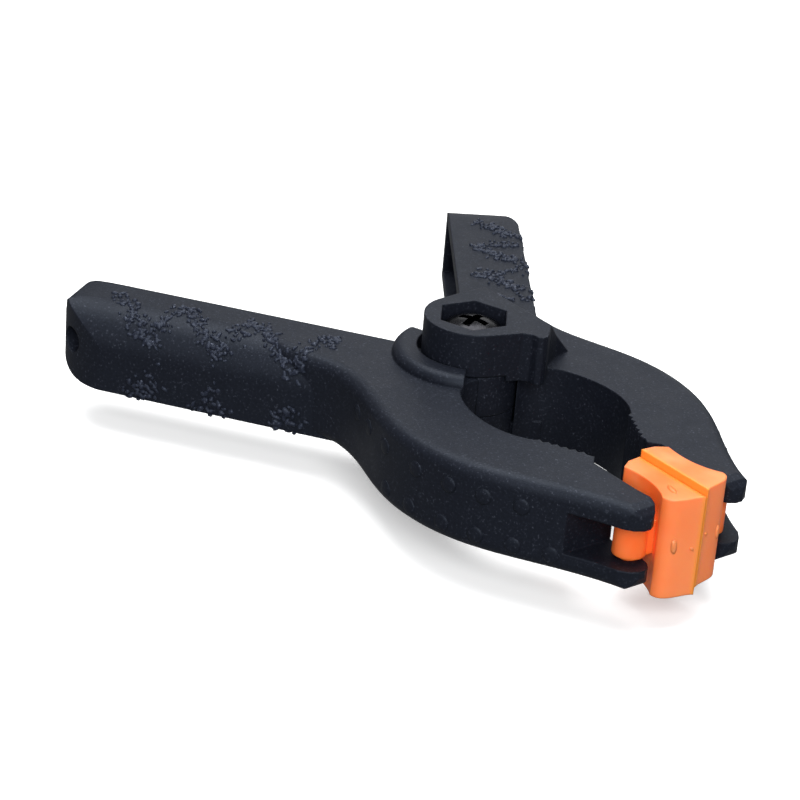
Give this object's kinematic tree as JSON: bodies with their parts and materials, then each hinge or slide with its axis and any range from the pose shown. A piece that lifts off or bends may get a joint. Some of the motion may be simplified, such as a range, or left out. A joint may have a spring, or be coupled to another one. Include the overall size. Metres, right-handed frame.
{
  "type": "spring clamp",
  "caption": "Mini spring clamp with two mirrored plastic levers on a pivot screw, a torsion spring in the handles' root and swivelling jaw pads.",
  "frame": {"origin": "foot of the pivot axis, on the underside of the lower pivot boss", "axes": "+Z along the pivot axis, +X from the pivot to the jaw tips, +Y towards lever B"},
  "size_m": [0.0654, 0.0534, 0.0168],
  "materials": {
    "lever_nylon": "black moulded nylon, fine satin grain",
    "pad_plastic": "soft translucent orange plastic, satin",
    "screw_steel": "black oxide, oiled",
    "nut_steel": "zinc-plated steel",
    "spring_steel": "bright spring wire"
  },
  "bodies": {
    "lever_a": {"lever_a": "lever_nylon", "pivot_screw": "screw_steel", "hex_nut": "nut_steel", "torsion_spring": "spring_steel"},
    "lever_b": {"lever_b": "lever_nylon"},
    "pad_a": {"pad_a": "pad_plastic"},
    "pad_b": {"pad_b": "pad_plastic"}
  },
  "joints": [
    {"name": "clamp_open", "type": "hinge", "parent": "lever_a", "child": "lever_b", "pos_m": [0, 0, 0.0084], "axis": [0, 0, 1], "range_deg": [0, 37], "stiffness_Nm_per_rad": 0.12, "springref_deg": -34.38, "deforming": ["torsion_spring"]},
    {"name": "pad_a_swivel", "type": "hinge", "parent": "lever_a", "child": "pad_a", "pos_m": [0.029, -0.0046, 0.0084], "axis": [0, 0, 1], "range_deg": [-20, 20]},
    {"name": "pad_b_swivel", "type": "hinge", "parent": "lever_b", "child": "pad_b", "pos_m": [0.029, 0.0046, 0.0084], "axis": [0, 0, 1], "range_deg": [-20, 20]}
  ],
  "couplings": [
    {"joint": "pad_a_swivel", "follows": "clamp_open", "ratio": 0.5},
    {"joint": "pad_b_swivel", "follows": "clamp_open", "ratio": -0.5}
  ]
}
